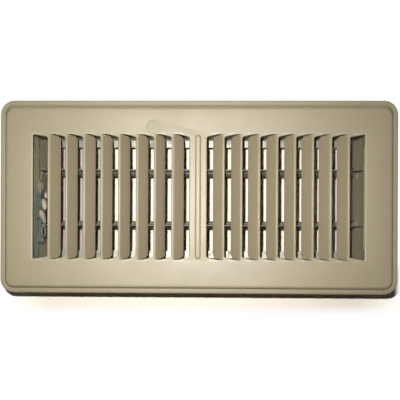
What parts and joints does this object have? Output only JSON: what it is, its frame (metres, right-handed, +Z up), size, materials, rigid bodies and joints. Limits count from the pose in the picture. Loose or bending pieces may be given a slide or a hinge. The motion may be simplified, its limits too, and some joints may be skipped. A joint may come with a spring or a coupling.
{
  "type": "louvred floor register",
  "caption": "Stamped steel floor register: faceplate with two banks of bent fins, over a drop-in box with a two-blade damper worked by a lever under an end slot.",
  "frame": {"origin": "under the middle of the faceplate, level with the lower edge of the box", "axes": "+X along the length away from the lever end, +Y across the width towards the rear wall, +Z up through the faceplate"},
  "size_m": [0.284, 0.138, 0.058],
  "materials": {
    "face_enamel": "satin beige stoving enamel with a fine orange-peel grain",
    "box_enamel": "thinner beige enamel inside the box",
    "blade_enamel": "thin dull brown-grey enamel on the damper blades",
    "nylon": "natural nylon",
    "plated_steel": "zinc-plated sheet steel",
    "bright_steel": "bright steel pins and rivets",
    "grip_plastic": "pale moulded plastic, slightly polished by fingers"
  },
  "bodies": {
    "housing": {"faceplate": "face_enamel", "left_end_plate": "box_enamel", "right_end_plate": "box_enamel", "front_side_wall": "box_enamel", "front_blade_stop": "plated_steel", "front_left_bush": "nylon", "front_right_bush": "nylon", "front_spring_washer": "bright_steel", "rear_side_wall": "box_enamel", "rear_blade_stop": "plated_steel", "rear_left_bush": "nylon", "rear_right_bush": "nylon", "rear_spring_washer": "bright_steel"},
    "front_damper": {"front_blade": "blade_enamel", "front_rod_saddle": "blade_enamel", "front_pivot_rod": "plated_steel", "front_crank_arm": "plated_steel", "front_crank_pin": "bright_steel"},
    "rear_damper": {"rear_blade": "blade_enamel", "rear_rod_saddle": "blade_enamel", "rear_pivot_rod": "plated_steel", "rear_crank_arm": "plated_steel", "rear_crank_pin": "bright_steel"},
    "operating_link": {"link_bar": "plated_steel", "lever_strap": "plated_steel", "lever_grip": "grip_plastic", "lever_rivets": "bright_steel"}
  },
  "joints": [
    {"name": "front_blade_turn", "type": "hinge", "parent": "housing", "child": "front_damper", "pos_m": [0, -0.0204, 0.025], "axis": [-1, 0, 0], "range_deg": [0, 88]},
    {"name": "rear_blade_turn", "type": "hinge", "parent": "housing", "child": "rear_damper", "pos_m": [0, 0.0204, 0.025], "axis": [-1, 0, 0], "range_deg": [0, 88]},
    {"name": "link_swing", "type": "hinge", "parent": "front_damper", "child": "operating_link", "pos_m": [-0.1198, -0.03151, 0.03651], "axis": [-1, 0, 0], "range_deg": [-88, 0]}
  ],
  "couplings": [
    {"joint": "rear_blade_turn", "follows": "front_blade_turn", "ratio": 1},
    {"joint": "link_swing", "follows": "front_blade_turn", "ratio": -1}
  ]
}
